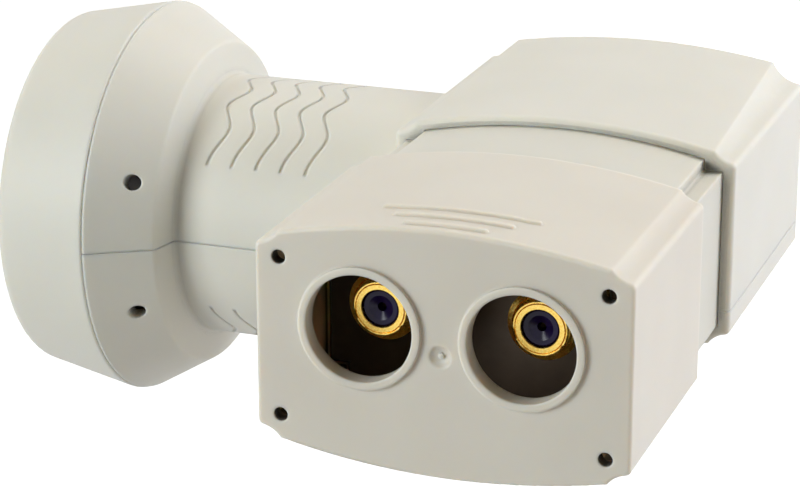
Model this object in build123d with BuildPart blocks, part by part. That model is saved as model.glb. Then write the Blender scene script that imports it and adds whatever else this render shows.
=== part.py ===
from build123d import *
from math import asin, cos, degrees, pi, radians, sin, sqrt
import os

# Satellite LNB with two outputs. A split plastic casing of flare, neck and box holds a die-cast feed
# and its converter board, and a weather cover slides along a sleeve over the two F connectors.
# Millimetres. X runs along the feed axis, with the mouth at -X and the box at +X. The connectors
# point to -Y and +Z is up. The origin is on the feed axis, at the middle of the neck's clamp seat.

# Neck and flare
neck_diameter = 40.0
seat_to_shoulder = 18.0
seat_to_box = 17.7
shoulder_rise = 4.9
shoulder_length = 1.1
shoulder_edge = 0.6
flare_rise = 5.6
flare_length = 9.25
shell_wall = 1.8
neck_end_length = 28.3
neck_end_edge = 8.0
vent_diameter = 2.4
vent_setback = 3.2
vent_angles = (22.2, -22.2)

# Wavy grip grooves round the neck
groove_count = 5
groove_pitch = 3.9
groove_first_setback = 5.0
groove_swing = 0.95
groove_wave = 8.25
groove_waves = 2
groove_width = 0.5
groove_depth = 0.3

# Feed cap
cap_length = 15.7
cap_taper = 3.1
cap_wall = 1.8
seam_edge = 0.3
cap_edge = 2.2
spigot_length = 4.4
spigot_clearance = 0.15

# Box housing
box_width = 49.2
box_lift = 8.9
side_height = 24.8
crown_height = 32.8
cove_width = 3.0
cove_depth = 1.6
cove_hollow = 0.4
ear_radius = 0.8
housing_length = 43.4
back_crown_rise = 0.8
back_cove_width = 4.6
back_cove_depth = 3.0
back_cove_hollow = 0.8
rim_edge = 0.7
back_edge = 0.6
shell_gap = 0.16

# Connector sleeve
sleeve_side_inset = 1.8
sleeve_crown_inset = 1.4
sleeve_ledge_inset = 1.3
sleeve_crown_rise = 2.3
notch_width = 2.65
sleeve_wall = 1.6
sleeve_shown = 17.8
sleeve_lap = 12.4
sleeve_grip = 3.4
sleeve_clearance = 0.15

# Weather cover
cover_length = 33.1
cover_face_wall = 2.0
cover_edge = 0.5
cover_clearance = 0.35
plug_hole_diameter = 14.2
collar_diameter = 16.2
collar_height = 0.6
drain_diameter = 1.9
drain_spread_x = 42.8
drain_spread_z = 21.2
dimple_diameter = 3.0
dimple_depth = 0.7
rib_height = 0.4
rib_round = 0.55
rib_spans = (10.1, 15.0, 20.0)
rib_pitch = 3.1
rib_setback = 2.0

# F connectors
connector_spacing = 21.2
thread_diameter = 9.4
nose_diameter = 6.4
nose_taper = 1.3
connector_reach = 13.5
flange_across_flats = 11.0
flange_thickness = 2.2
shank_diameter = 8.0
insulator_diameter = 4.9
insulator_setback = 0.35
funnel_diameter = 3.2
funnel_depth = 0.8
socket_diameter = 1.5
socket_depth = 4.0
contact_diameter = 0.8
contact_on_board = 3.0
seal_section = 1.4
pad_thickness = 0.8
pad_inset = 0.6
pad_clearance = 0.2
press_clearance = 0.05

# Die-cast horn, waveguide and chassis tray
waveguide_diameter = 17.5
waveguide_wall = 1.45
throat_to_seat = 14.0
mouth_setback = 0.6
mouth_rim_wall = 2.7
mouth_rim_gap = 1.4
mouth_rim_length = 5.0
horn_wall = 1.8
cap_seal_depth = 0.7
back_short_wall = 2.5
tube_rib_thickness = 1.6
tube_rib_spread = 17.0
tube_clearance = 0.1
tray_side_gap = 8.3
tray_back_gap = 2.0
tray_floor = 2.0
tray_wall = 1.8
tray_depth = 4.4
front_wall = 3.0
front_wall_height = 12.0
lid_boss_diameter = 4.4
lid_screw_pitch = 21.5
lid_screw_first = 4.0

# Lid, board and probes
gasket_thickness = 0.5
gasket_width = 1.2
lid_thickness = 1.5
lid_clearance = 0.2
shield_wall = 1.2
shield_gap = 0.4
board_thickness = 0.8
board_clearance = 0.5
small_screw_diameter = 2.2
lid_screw_grip = 3.5
pan_head_diameter = 4.0
pan_head_height = 1.3
puck_diameter = 5.2
puck_height = 2.2
puck_spread = 13.0
puck_setback = 10.0
tuning_screw_diameter = 3.6
tuning_gap = 0.5
tuning_stand = 0.8
probe_diameter = 1.2
probe_reach = 6.0
probe_from_edge = 2.7
probe_spacing = 4.5
probe_from_short = 4.5
side_probe_stand = 2.8
probe_bend = 1.5
probe_solder = 0.3
bushing_wall = 0.6

# Parts on the board, as length, width and height
transistor_size = (1.8, 1.3, 0.9)
mixer_size = (4.0, 4.0, 0.9)
regulator_size = (6.5, 6.0, 2.3)
capacitor_size = (3.2, 1.6, 1.4)

# Screws that join the shells
post_diameter = 5.2
post_side_inset = 5.0
post_end_inset = 6.2
shell_screw_diameter = 2.4
shell_screw_length = 12.0
shell_head_diameter = 4.4
shell_head_height = 1.6
screw_seat_depth = 2.8
screw_clearance = 0.2

# Places that follow from the sizes above
neck_radius = neck_diameter / 2
shoulder_radius = neck_radius + shoulder_rise
flare_radius = shoulder_radius + flare_rise
shoulder_foot_x = -seat_to_shoulder
shoulder_x = shoulder_foot_x - shoulder_length
seam_x = shoulder_x - flare_length
cap_front_x = seam_x - cap_length
neck_end_x = seat_to_box + neck_end_length
box_centre_x = seat_to_box + box_width / 2
rim_y = -housing_length / 2
back_y = housing_length / 2
cover_rear_y = rim_y - sleeve_shown
cover_face_y = cover_rear_y - cover_length
bulkhead_y = cover_rear_y - sleeve_lap
tube_radius = waveguide_diameter / 2 + waveguide_wall
floor_z = tube_radius
board_top_z = floor_z + board_thickness
tray_rim_z = floor_z + tray_depth
lid_z = tray_rim_z + gasket_thickness
lid_top_z = lid_z + lid_thickness
connector_z = board_top_z + contact_diameter / 2
connector_xs = (box_centre_x - connector_spacing / 2, box_centre_x + connector_spacing / 2)
front_wall_y = bulkhead_y + sleeve_wall + press_clearance
tray_front_y = front_wall_y + front_wall
tray_width = box_width - 2 * tray_side_gap
tray_back_y = back_y - shell_wall - tray_back_gap
pocket_front_y = tray_front_y + tray_wall
pocket_back_y = tray_back_y - tray_wall
pocket_width = tray_width - 2 * tray_wall
board_front_y = pocket_front_y + board_clearance
board_back_y = pocket_back_y - board_clearance
board_mid_y = (board_front_y + board_back_y) / 2
board_width = pocket_width - 2 * board_clearance
board_length = board_back_y - board_front_y
board_screw_pitch = board_length / 2
lid_screw_ys = [tray_front_y + lid_screw_first + lid_screw_pitch * step for step in range(3)]
lid_screw_x = tray_width / 2 + lid_boss_diameter / 4
lid_screw_places = [(side * lid_screw_x, y) for side in (-1, 1) for y in lid_screw_ys]
side_probe_x = box_centre_x - board_width / 2 + probe_from_edge
upright_probe_x = side_probe_x + probe_spacing
back_short_x = upright_probe_x + probe_from_short
side_probe_y = -tube_radius - side_probe_stand
post_spread_x = box_width - 2 * post_side_inset
post_spread_y = housing_length - 2 * post_end_inset
puck_y = board_front_y + puck_setback

os.makedirs("parts", exist_ok=True)


def section_plane(y):
    """Plane across the box at this y, centred on the box, with X to the right and Z up."""
    return Plane(origin=(box_centre_x, y, box_lift), x_dir=(1, 0, 0), z_dir=(0, -1, 0))


def level_plane(z, y=0):
    """Level plane at this height, over the middle of the box."""
    return Plane(origin=(box_centre_x, y, z))


def connector_plane(x, out=0):
    """Plane across one connector's axis, this far out of the bulkhead."""
    return Plane(origin=(x, bulkhead_y - out, connector_z), x_dir=(1, 0, 0), z_dir=(0, -1, 0))


def axis_plane(x):
    """Plane along one connector's axis: local x runs out of the bulkhead, local y is the radius."""
    return Plane(origin=(x, bulkhead_y, connector_z), x_dir=(0, -1, 0), z_dir=(-1, 0, 0))


def connector_axis(x):
    """Axis of one connector, pointing out of the bulkhead."""
    return Axis((x, bulkhead_y, connector_z), (0, -1, 0))


def box_outline(corner_width, corner_depth, hollow, height):
    """Box section: upright sides, a shallow cove at each corner, crowned top and bottom."""
    ear_x = box_width / 2
    ear_y = side_height / 2
    brow_x = ear_x - corner_width
    brow_y = ear_y + corner_depth
    with BuildSketch() as outline:
        with BuildLine():
            Line((ear_x, 0), (ear_x, ear_y))
            SagittaArc((ear_x, ear_y), (brow_x, brow_y), hollow)
            ThreePointArc((brow_x, brow_y), (0, height / 2), (-brow_x, brow_y))
            SagittaArc((-brow_x, brow_y), (-ear_x, ear_y), hollow)
            Line((-ear_x, ear_y), (-ear_x, 0))
            mirror(about=Plane.XZ)
        make_face()
        corners = outline.vertices().filter_by(lambda v: abs(abs(v.Y) - ear_y) < ear_radius / 2)
        fillet(corners, ear_radius)
    return outline.sketch


def notched_outline(grow):
    """Sleeve section: crowned top and bottom, a square notch at each corner, grown all round."""
    side_x = box_width / 2 - sleeve_side_inset + grow
    wall_x = side_x - notch_width
    ledge_y = side_height / 2 - sleeve_ledge_inset + grow
    crown_y = crown_height / 2 - sleeve_crown_inset + grow
    brow_y = crown_y - sleeve_crown_rise
    with BuildSketch() as outline:
        with BuildLine():
            Polyline((side_x, 0), (side_x, ledge_y), (wall_x, ledge_y), (wall_x, brow_y))
            ThreePointArc((wall_x, brow_y), (0, crown_y), (-wall_x, brow_y))
            Polyline((-wall_x, brow_y), (-wall_x, ledge_y), (-side_x, ledge_y), (-side_x, 0))
            mirror(about=Plane.XZ)
        make_face()
    return outline.sketch


back_height = crown_height + 2 * back_crown_rise
box_section = box_outline(cove_width, cove_depth, cove_hollow, crown_height)
back_section = box_outline(back_cove_width, back_cove_depth, back_cove_hollow, back_height)

# Casing outside: the box from its rim to its back, and the flare, neck and round neck end turned
# about the feed axis. The spigot in front of the seam goes inside the feed cap.
spigot_radius = flare_radius - cap_wall - spigot_clearance
with BuildPart() as casing_outside:
    with BuildSketch(section_plane(rim_y)):
        add(box_section)
    with BuildSketch(section_plane(back_y)):
        add(back_section)
    loft()
    fillet(casing_outside.faces().filter_by(Axis.Y).sort_by(Axis.Y)[0].edges(), rim_edge)
    fillet(casing_outside.faces().filter_by(Axis.Y).sort_by(Axis.Y)[-1].edges(), back_edge)
    with BuildSketch(Plane.XZ) as turned_outside:
        with BuildLine():
            Polyline(
                (neck_end_x, neck_radius - neck_end_edge),
                (neck_end_x, 0),
                (seam_x - spigot_length, 0),
                (seam_x - spigot_length, spigot_radius),
                (seam_x, spigot_radius),
                (seam_x, flare_radius),
                (shoulder_x, shoulder_radius),
                (shoulder_foot_x, neck_radius),
                (neck_end_x - neck_end_edge, neck_radius),
            )
            CenterArc((neck_end_x - neck_end_edge, neck_radius - neck_end_edge), neck_end_edge, 0, 90)
        make_face()
        seam_corner = turned_outside.vertices().sort_by_distance((seam_x, flare_radius))[0]
        fillet(seam_corner, seam_edge)
        shoulder_corner = turned_outside.vertices().sort_by_distance((shoulder_x, shoulder_radius))[0]
        fillet(shoulder_corner, shoulder_edge)
        foot_corner = turned_outside.vertices().sort_by_distance((shoulder_foot_x, neck_radius))[0]
        fillet(foot_corner, shoulder_edge)
    revolve(axis=Axis.X)

# Casing hollow: the same forms one wall further in. The screw posts and the two rings that hold the
# waveguide tube are left standing in it.
flare_slope = flare_rise / flare_length
cone_inset = shell_wall * sqrt(1 + flare_slope**2)
bore_radius = neck_radius - shell_wall
spigot_bore = spigot_radius - shell_wall
cone_start_x = seam_x + (flare_radius - cone_inset - spigot_bore) / flare_slope
cone_end_x = shoulder_x - shell_wall
cone_end_radius = flare_radius - cone_inset - flare_slope * (cone_end_x - seam_x)
hollow_end_x = neck_end_x - shell_wall
hollow_edge = neck_end_edge - shell_wall
with BuildPart() as casing_hollow:
    with BuildSketch(Plane.XZ):
        with BuildLine():
            Polyline(
                (hollow_end_x, bore_radius - hollow_edge),
                (hollow_end_x, 0),
                (seam_x - spigot_length, 0),
                (seam_x - spigot_length, spigot_bore),
                (cone_start_x, spigot_bore),
                (cone_end_x, cone_end_radius),
                (shoulder_foot_x - shell_wall, bore_radius),
                (hollow_end_x - hollow_edge, bore_radius),
            )
            CenterArc((hollow_end_x - hollow_edge, bore_radius - hollow_edge), hollow_edge, 0, 90)
        make_face()
    revolve(axis=Axis.X)
    with BuildSketch(Plane.XZ):
        with Locations((-tube_rib_spread / 2, bore_radius), (tube_rib_spread / 2, bore_radius)):
            Rectangle(tube_rib_thickness, 2 * (bore_radius - tube_radius - tube_clearance))
    revolve(axis=Axis.X, mode=Mode.SUBTRACT)
    with BuildSketch(section_plane(rim_y)):
        add(notched_outline(sleeve_clearance))
    extrude(amount=-(housing_length - shell_wall))
    with BuildSketch(level_plane(0)):
        with GridLocations(post_spread_x, post_spread_y, 2, 2):
            Circle(post_diameter / 2)
    extrude(amount=crown_height, both=True, mode=Mode.SUBTRACT)

# Grip grooves: wavy strips seen square to the parting plane, cut to a thin skin of the neck
groove_steps = 4 * groove_waves
with BuildPart() as grip_grooves:
    with BuildSketch(Plane.XY.offset(-neck_diameter)):
        for step in range(groove_count):
            middle_x = shoulder_foot_x + groove_first_setback + step * groove_pitch
            bends = [
                (middle_x - groove_swing * cos(pi * bend / 2), bend * groove_wave / 4)
                for bend in range(-groove_steps, groove_steps + 1)
            ]
            with BuildLine():
                front_edge = Spline(*[(x - groove_width / 2, y) for x, y in bends])
                rear_edge = Spline(*[(x + groove_width / 2, y) for x, y in bends])
                Line(front_edge @ 0, rear_edge @ 0)
                Line(front_edge @ 1, rear_edge @ 1)
            make_face()
    extrude(amount=2 * neck_diameter)
    with BuildSketch(Plane.YZ.offset(shoulder_foot_x)):
        Circle(neck_radius + groove_depth)
        Circle(neck_radius - groove_depth, mode=Mode.SUBTRACT)
    extrude(amount=seat_to_shoulder + seat_to_box, mode=Mode.INTERSECT)

# Whole casing before it is parted, with the vent holes through the flare
vent_x = shoulder_x - vent_setback
with BuildPart() as casing:
    add(casing_outside.part)
    add(casing_hollow.part, mode=Mode.SUBTRACT)
    add(grip_grooves.part, mode=Mode.SUBTRACT)
    for angle in vent_angles:
        for side in (-1, 1):
            outward = (0, side * cos(radians(angle)), sin(radians(angle)))
            with BuildSketch(Plane(origin=(vent_x, 0, 0), x_dir=(1, 0, 0), z_dir=outward)):
                Circle(vent_diameter / 2)
            extrude(amount=flare_radius, mode=Mode.SUBTRACT)

# Upper shell: everything above the parting plane, with pilot holes up into its posts
pilot_depth = shell_screw_length - screw_seat_depth + screw_clearance
with BuildPart() as upper_shell:
    add(casing.part)
    split(bisect_by=Plane.XY.offset(shell_gap / 2), keep=Keep.TOP)
    with BuildSketch(level_plane(0)):
        with GridLocations(post_spread_x, post_spread_y, 2, 2):
            Circle(shell_screw_diameter / 2 + press_clearance)
    extrude(amount=pilot_depth, mode=Mode.SUBTRACT)
upper_shell.part.label = "upper_shell"
export_step(upper_shell.part, "parts/upper_shell.step")

# Lower shell: everything below the parting plane, with a sunk hole for each screw head
with BuildPart() as lower_shell:
    add(casing.part)
    split(bisect_by=Plane.XY.offset(-shell_gap / 2), keep=Keep.BOTTOM)
    with BuildSketch(level_plane(0)):
        with GridLocations(post_spread_x, post_spread_y, 2, 2):
            Circle(shell_screw_diameter / 2 + screw_clearance)
    extrude(amount=-screw_seat_depth, mode=Mode.SUBTRACT)
    with BuildSketch(level_plane(-screw_seat_depth)):
        with GridLocations(post_spread_x, post_spread_y, 2, 2):
            Circle(shell_head_diameter / 2 + screw_clearance)
    extrude(amount=-neck_diameter, mode=Mode.SUBTRACT)
lower_shell.part.label = "lower_shell"
export_step(lower_shell.part, "parts/lower_shell.step")

# Shell screws: pan heads in the sunk holes, shanks up into the posts
with BuildPart() as shell_screws:
    with BuildSketch(level_plane(-screw_seat_depth)):
        with GridLocations(post_spread_x, post_spread_y, 2, 2):
            Circle(shell_screw_diameter / 2)
    extrude(amount=shell_screw_length)
    with BuildSketch(level_plane(-screw_seat_depth)):
        with GridLocations(post_spread_x, post_spread_y, 2, 2):
            Circle(shell_head_diameter / 2)
    extrude(amount=-shell_head_height)
shell_screws.part.label = "shell_screws"
export_step(shell_screws.part, "parts/shell_screws.step")

# Feed cap: a tapered cup over the horn mouth, slipped on the casing's spigot
cap_slope = cap_taper / cap_length
cap_step_x = seam_x - spigot_length - spigot_clearance
cap_inner_x = cap_front_x + cap_wall
with BuildPart() as feed_cap:
    with BuildSketch(Plane.XZ) as cap_section:
        with BuildLine():
            Polyline(
                (seam_x, flare_radius),
                (cap_front_x, flare_radius - cap_taper),
                (cap_front_x, 0),
                (cap_inner_x, 0),
                (cap_inner_x, flare_radius - cap_wall - cap_slope * (seam_x - cap_inner_x)),
                (cap_step_x, flare_radius - cap_wall - cap_slope * (seam_x - cap_step_x)),
                (cap_step_x, spigot_radius + spigot_clearance),
                (seam_x, spigot_radius + spigot_clearance),
                close=True,
            )
        make_face()
        front_corner = cap_section.vertices().group_by(Axis.X)[0].sort_by(Axis.Y)[-1]
        fillet(front_corner, cap_edge)
        seam_corner = cap_section.vertices().sort_by_distance((seam_x, flare_radius))[0]
        fillet(seam_corner, seam_edge)
    revolve(axis=Axis.X)
feed_cap.part.label = "feed_cap"
export_step(feed_cap.part, "parts/feed_cap.step")

# Cap seal: O-ring in the groove of the horn's mouth rim
mouth_x = cap_inner_x + mouth_setback
cap_seal_x = mouth_x + mouth_rim_length / 2
cap_bore = flare_radius - cap_wall - cap_slope * (seam_x - cap_seal_x)
mouth_rim_radius = cap_bore - mouth_rim_gap
cap_seal_section = mouth_rim_gap + cap_seal_depth - 4 * press_clearance
cap_seal_radius = cap_bore - 2 * press_clearance - cap_seal_section / 2
with BuildPart() as cap_seal:
    with BuildSketch(Plane.XZ):
        with Locations((cap_seal_x, cap_seal_radius)):
            Circle(cap_seal_section / 2)
    revolve(axis=Axis.X)
cap_seal.part.label = "cap_seal"
export_step(cap_seal.part, "parts/cap_seal.step")

# Horn casting: conical horn, round waveguide closed by its back short, and the chassis tray on top
# of it, with the wall that the connectors screw into.
throat_x = -throat_to_seat
mouth_radius = mouth_rim_radius - mouth_rim_wall
horn_slope = (mouth_radius - waveguide_diameter / 2) / (throat_x - mouth_x)
rim_back_x = mouth_x + mouth_rim_length
horn_back_radius = mouth_radius - horn_slope * mouth_rim_length + horn_wall
pin_hole_radius = contact_diameter / 2 + 2 * bushing_wall
bushing_radius = probe_diameter / 2 + bushing_wall
with BuildPart() as horn_casting:
    with BuildSketch(Plane.XZ):
        with BuildLine():
            Polyline(
                (mouth_x, 0),
                (mouth_x, mouth_rim_radius),
                (rim_back_x, mouth_rim_radius),
                (rim_back_x, horn_back_radius),
                (throat_x, tube_radius),
                (back_short_x + back_short_wall, tube_radius),
                (back_short_x + back_short_wall, 0),
                close=True,
            )
        make_face()
    revolve(axis=Axis.X)
    with BuildSketch(level_plane(floor_z - tray_floor)):
        with Locations((0, front_wall_y)):
            Rectangle(tray_width, tray_back_y - front_wall_y, align=(Align.CENTER, Align.MIN))
        with Locations(*lid_screw_places):
            Circle(lid_boss_diameter / 2)
    extrude(amount=tray_floor + tray_depth)
    with BuildSketch(level_plane(connector_z - front_wall_height / 2, front_wall_y)):
        Rectangle(tray_width, front_wall, align=(Align.CENTER, Align.MIN))
    extrude(amount=front_wall_height)
    with BuildSketch(level_plane(floor_z, pocket_front_y)):
        Rectangle(pocket_width, pocket_back_y - pocket_front_y, align=(Align.CENTER, Align.MIN))
    extrude(amount=tray_depth, mode=Mode.SUBTRACT)
    with BuildSketch(Plane.XZ):
        with BuildLine():
            Polyline(
                (mouth_x, 0),
                (mouth_x, mouth_radius),
                (throat_x, waveguide_diameter / 2),
                (back_short_x, waveguide_diameter / 2),
                (back_short_x, 0),
                close=True,
            )
        make_face()
    revolve(axis=Axis.X, mode=Mode.SUBTRACT)
    with BuildSketch(Plane.XZ):
        with Locations((cap_seal_x, mouth_rim_radius)):
            Rectangle(cap_seal_section + 2 * press_clearance, 2 * cap_seal_depth)
    revolve(axis=Axis.X, mode=Mode.SUBTRACT)
    for x in connector_xs:
        with BuildSketch(connector_plane(x)):
            Circle(shank_diameter / 2 + press_clearance)
        extrude(amount=bulkhead_y - tray_front_y, mode=Mode.SUBTRACT)
        with BuildSketch(connector_plane(x)):
            Circle(pin_hole_radius)
        extrude(amount=bulkhead_y - pocket_front_y, mode=Mode.SUBTRACT)
    with BuildSketch(Plane.XY):
        with Locations((upright_probe_x, 0), (side_probe_x, side_probe_y)):
            Circle(bushing_radius + press_clearance)
    extrude(amount=floor_z, mode=Mode.SUBTRACT)
    with BuildSketch(Plane.XZ.offset(-side_probe_y - side_probe_stand)):
        with Locations((side_probe_x, 0)):
            Circle(bushing_radius + press_clearance)
    extrude(amount=-tube_radius, mode=Mode.SUBTRACT)
    with BuildSketch(level_plane(tray_rim_z)):
        with Locations(*lid_screw_places):
            Circle(small_screw_diameter / 2 + press_clearance)
    extrude(amount=-lid_screw_grip, mode=Mode.SUBTRACT)
    with BuildSketch(level_plane(floor_z, board_mid_y)):
        with GridLocations(0, board_screw_pitch, 1, 2):
            Circle(small_screw_diameter / 2 + press_clearance)
    extrude(amount=-tray_floor, mode=Mode.SUBTRACT)
horn_casting.part.label = "horn_casting"
export_step(horn_casting.part, "parts/horn_casting.step")

# Probe bushings: short PTFE tubes round the probes, in the tray floor and the waveguide wall
with BuildPart() as probe_bushings:
    with BuildSketch(Plane.XY.offset(floor_z)):
        with Locations((upright_probe_x, 0), (side_probe_x, side_probe_y)):
            Circle(bushing_radius)
            Circle(probe_diameter / 2 + press_clearance, mode=Mode.SUBTRACT)
    extrude(amount=-waveguide_wall)
    with BuildSketch(Plane.XZ.offset(tube_radius)):
        with Locations((side_probe_x, 0)):
            Circle(bushing_radius)
            Circle(probe_diameter / 2 + press_clearance, mode=Mode.SUBTRACT)
    extrude(amount=-waveguide_wall)
probe_bushings.part.label = "probe_bushings"
export_step(probe_bushings.part, "parts/probe_bushings.step")

# Upright probe: a straight pin from the board down into the waveguide
probe_top_z = board_top_z + probe_solder
with BuildPart() as upright_probe:
    with BuildSketch(Plane.XY.offset(probe_top_z)):
        with Locations((upright_probe_x, 0)):
            Circle(probe_diameter / 2)
    extrude(amount=-(probe_top_z - waveguide_diameter / 2 + probe_reach))
upright_probe.part.label = "upright_probe"
export_step(upright_probe.part, "parts/upright_probe.step")

# Side probe: a pin bent square, down past the waveguide and in through its side
with BuildPart() as side_probe:
    with BuildLine() as side_probe_path:
        FilletPolyline(
            (side_probe_x, side_probe_y, probe_top_z),
            (side_probe_x, side_probe_y, 0),
            (side_probe_x, probe_reach - waveguide_diameter / 2, 0),
            radius=probe_bend,
        )
    with BuildSketch(Plane(origin=(side_probe_x, side_probe_y, probe_top_z), z_dir=(0, 0, -1))):
        Circle(probe_diameter / 2)
    sweep()
side_probe.part.label = "side_probe"
export_step(side_probe.part, "parts/side_probe.step")

# Circuit board: lies on the tray floor, drilled for the probes and its two screws
with BuildPart() as circuit_board:
    with BuildSketch(level_plane(floor_z, board_front_y)):
        Rectangle(board_width, board_length, align=(Align.CENTER, Align.MIN))
    extrude(amount=board_thickness)
    with BuildSketch(Plane.XY.offset(floor_z)):
        with Locations((upright_probe_x, 0), (side_probe_x, side_probe_y)):
            Circle(probe_diameter / 2 + press_clearance)
    extrude(amount=board_thickness, mode=Mode.SUBTRACT)
    with BuildSketch(level_plane(floor_z, board_mid_y)):
        with GridLocations(0, board_screw_pitch, 1, 2):
            Circle(small_screw_diameter / 2 + press_clearance)
    extrude(amount=board_thickness, mode=Mode.SUBTRACT)
circuit_board.part.label = "circuit_board"
export_step(circuit_board.part, "parts/circuit_board.step")

# Board screws
with BuildPart() as board_screws:
    with BuildSketch(level_plane(board_top_z, board_mid_y)):
        with GridLocations(0, board_screw_pitch, 1, 2):
            Circle(small_screw_diameter / 2)
    extrude(amount=-(board_thickness + tray_floor))
    with BuildSketch(level_plane(board_top_z, board_mid_y)):
        with GridLocations(0, board_screw_pitch, 1, 2):
            Circle(pan_head_diameter / 2)
    extrude(amount=pan_head_height)
board_screws.part.label = "board_screws"
export_step(board_screws.part, "parts/board_screws.step")

# Parts on the board. The places are shares of half its width and of its length, from the middle of
# its front edge.
board_parts = {
    "low_noise_transistors": (transistor_size, ((-0.71, 0.56), (-0.71, 0.73), (-0.36, 0.61), (-0.36, 0.83))),
    "mixer_chips": (mixer_size, ((-0.46, 0.4), (0.46, 0.4))),
    "voltage_regulators": (regulator_size, ((0.57, 0.59), (0.57, 0.86))),
    "filter_capacitors": (capacitor_size, ((-0.64, 0.07), (0.64, 0.07), (0.1, 0.5), (0.1, 0.82))),
}
for name, ((length, width, height), shares) in board_parts.items():
    with BuildPart() as board_part:
        with BuildSketch(level_plane(board_top_z, board_front_y)):
            with Locations(*[(across * board_width / 2, along * board_length) for across, along in shares]):
                Rectangle(length, width)
        extrude(amount=height)
    board_part.part.label = name
    export_step(board_part.part, f"parts/{name}.step")

# Resonator pucks: ceramic discs that set the two oscillator frequencies
with BuildPart() as resonator_pucks:
    with BuildSketch(level_plane(board_top_z, puck_y)):
        with GridLocations(puck_spread, 0, 2, 1):
            Circle(puck_diameter / 2)
    extrude(amount=puck_height)
resonator_pucks.part.label = "resonator_pucks"
export_step(resonator_pucks.part, "parts/resonator_pucks.step")

# Lid gasket: a flat frame on the rim of the tray
with BuildPart() as lid_gasket:
    with BuildSketch(level_plane(tray_rim_z, pocket_front_y)):
        with Locations((0, (pocket_back_y - pocket_front_y) / 2)):
            Rectangle(pocket_width + 2 * gasket_width, pocket_back_y - pocket_front_y + 2 * gasket_width)
            Rectangle(pocket_width, pocket_back_y - pocket_front_y, mode=Mode.SUBTRACT)
    extrude(amount=gasket_thickness)
lid_gasket.part.label = "lid_gasket"
export_step(lid_gasket.part, "parts/lid_gasket.step")

# Chassis lid: a plate with six eared screw holes, two threaded tuning holes and two shield walls
lid_front_y = tray_front_y + lid_clearance
shield_ys = [pocket_front_y + (pocket_back_y - pocket_front_y) * step / 3 for step in (1, 2)]
with BuildPart() as chassis_lid:
    with BuildSketch(level_plane(lid_z)):
        with Locations((0, lid_front_y)):
            Rectangle(tray_width, tray_back_y - lid_front_y, align=(Align.CENTER, Align.MIN))
        with Locations(*lid_screw_places):
            Circle(lid_boss_diameter / 2)
    extrude(amount=lid_thickness)
    with BuildSketch(level_plane(lid_z)):
        with Locations(*[(0, y) for y in shield_ys]):
            Rectangle(pocket_width - 2 * lid_clearance, shield_wall)
    extrude(amount=-(lid_z - board_top_z - shield_gap))
    with BuildSketch(level_plane(lid_z)):
        with Locations(*lid_screw_places):
            Circle(small_screw_diameter / 2 + screw_clearance)
        with Locations((-puck_spread / 2, puck_y), (puck_spread / 2, puck_y)):
            Circle(tuning_screw_diameter / 2 + press_clearance)
    extrude(amount=lid_thickness, mode=Mode.SUBTRACT)
chassis_lid.part.label = "chassis_lid"
export_step(chassis_lid.part, "parts/chassis_lid.step")

# Lid screws
with BuildPart() as lid_screws:
    with BuildSketch(level_plane(lid_top_z)):
        with Locations(*lid_screw_places):
            Circle(small_screw_diameter / 2)
    extrude(amount=-(lid_top_z - tray_rim_z + lid_screw_grip))
    with BuildSketch(level_plane(lid_top_z)):
        with Locations(*lid_screw_places):
            Circle(pan_head_diameter / 2)
    extrude(amount=pan_head_height)
lid_screws.part.label = "lid_screws"
export_step(lid_screws.part, "parts/lid_screws.step")

# Tuning screws: through the lid, each just over a puck
with BuildPart() as tuning_screws:
    with BuildSketch(level_plane(lid_top_z + tuning_stand, puck_y)):
        with GridLocations(puck_spread, 0, 2, 1):
            Circle(tuning_screw_diameter / 2)
    extrude(amount=-(lid_top_z + tuning_stand - board_top_z - puck_height - tuning_gap))
tuning_screws.part.label = "tuning_screws"
export_step(tuning_screws.part, "parts/tuning_screws.step")

# Connector sleeve: a notched tube out of the box rim, closed by the bulkhead the connectors pass through
with BuildPart() as connector_sleeve:
    with BuildSketch(section_plane(bulkhead_y)):
        add(notched_outline(0))
    extrude(amount=-(sleeve_lap + sleeve_shown + sleeve_grip))
    with BuildSketch(section_plane(bulkhead_y + sleeve_wall)):
        add(notched_outline(-sleeve_wall))
    extrude(amount=-(sleeve_lap + sleeve_shown + sleeve_grip - sleeve_wall), mode=Mode.SUBTRACT)
    for x in connector_xs:
        with BuildSketch(connector_plane(x)):
            Circle(shank_diameter / 2 + screw_clearance)
        extrude(amount=-sleeve_wall, mode=Mode.SUBTRACT)
connector_sleeve.part.label = "connector_sleeve"
export_step(connector_sleeve.part, "parts/connector_sleeve.step")

# Bulkhead pad: a dark rubber sheet in front of the bulkhead, cut clear of the connector seals
pad_hole_radius = shank_diameter / 2 + 2 * press_clearance + seal_section + pad_clearance
with BuildPart() as bulkhead_pad:
    with BuildSketch(section_plane(bulkhead_y)):
        add(notched_outline(-pad_inset))
    extrude(amount=pad_thickness)
    for x in connector_xs:
        with BuildSketch(connector_plane(x)):
            Circle(pad_hole_radius)
        extrude(amount=pad_thickness, mode=Mode.SUBTRACT)
bulkhead_pad.part.label = "bulkhead_pad"
export_step(bulkhead_pad.part, "parts/bulkhead_pad.step")

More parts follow.
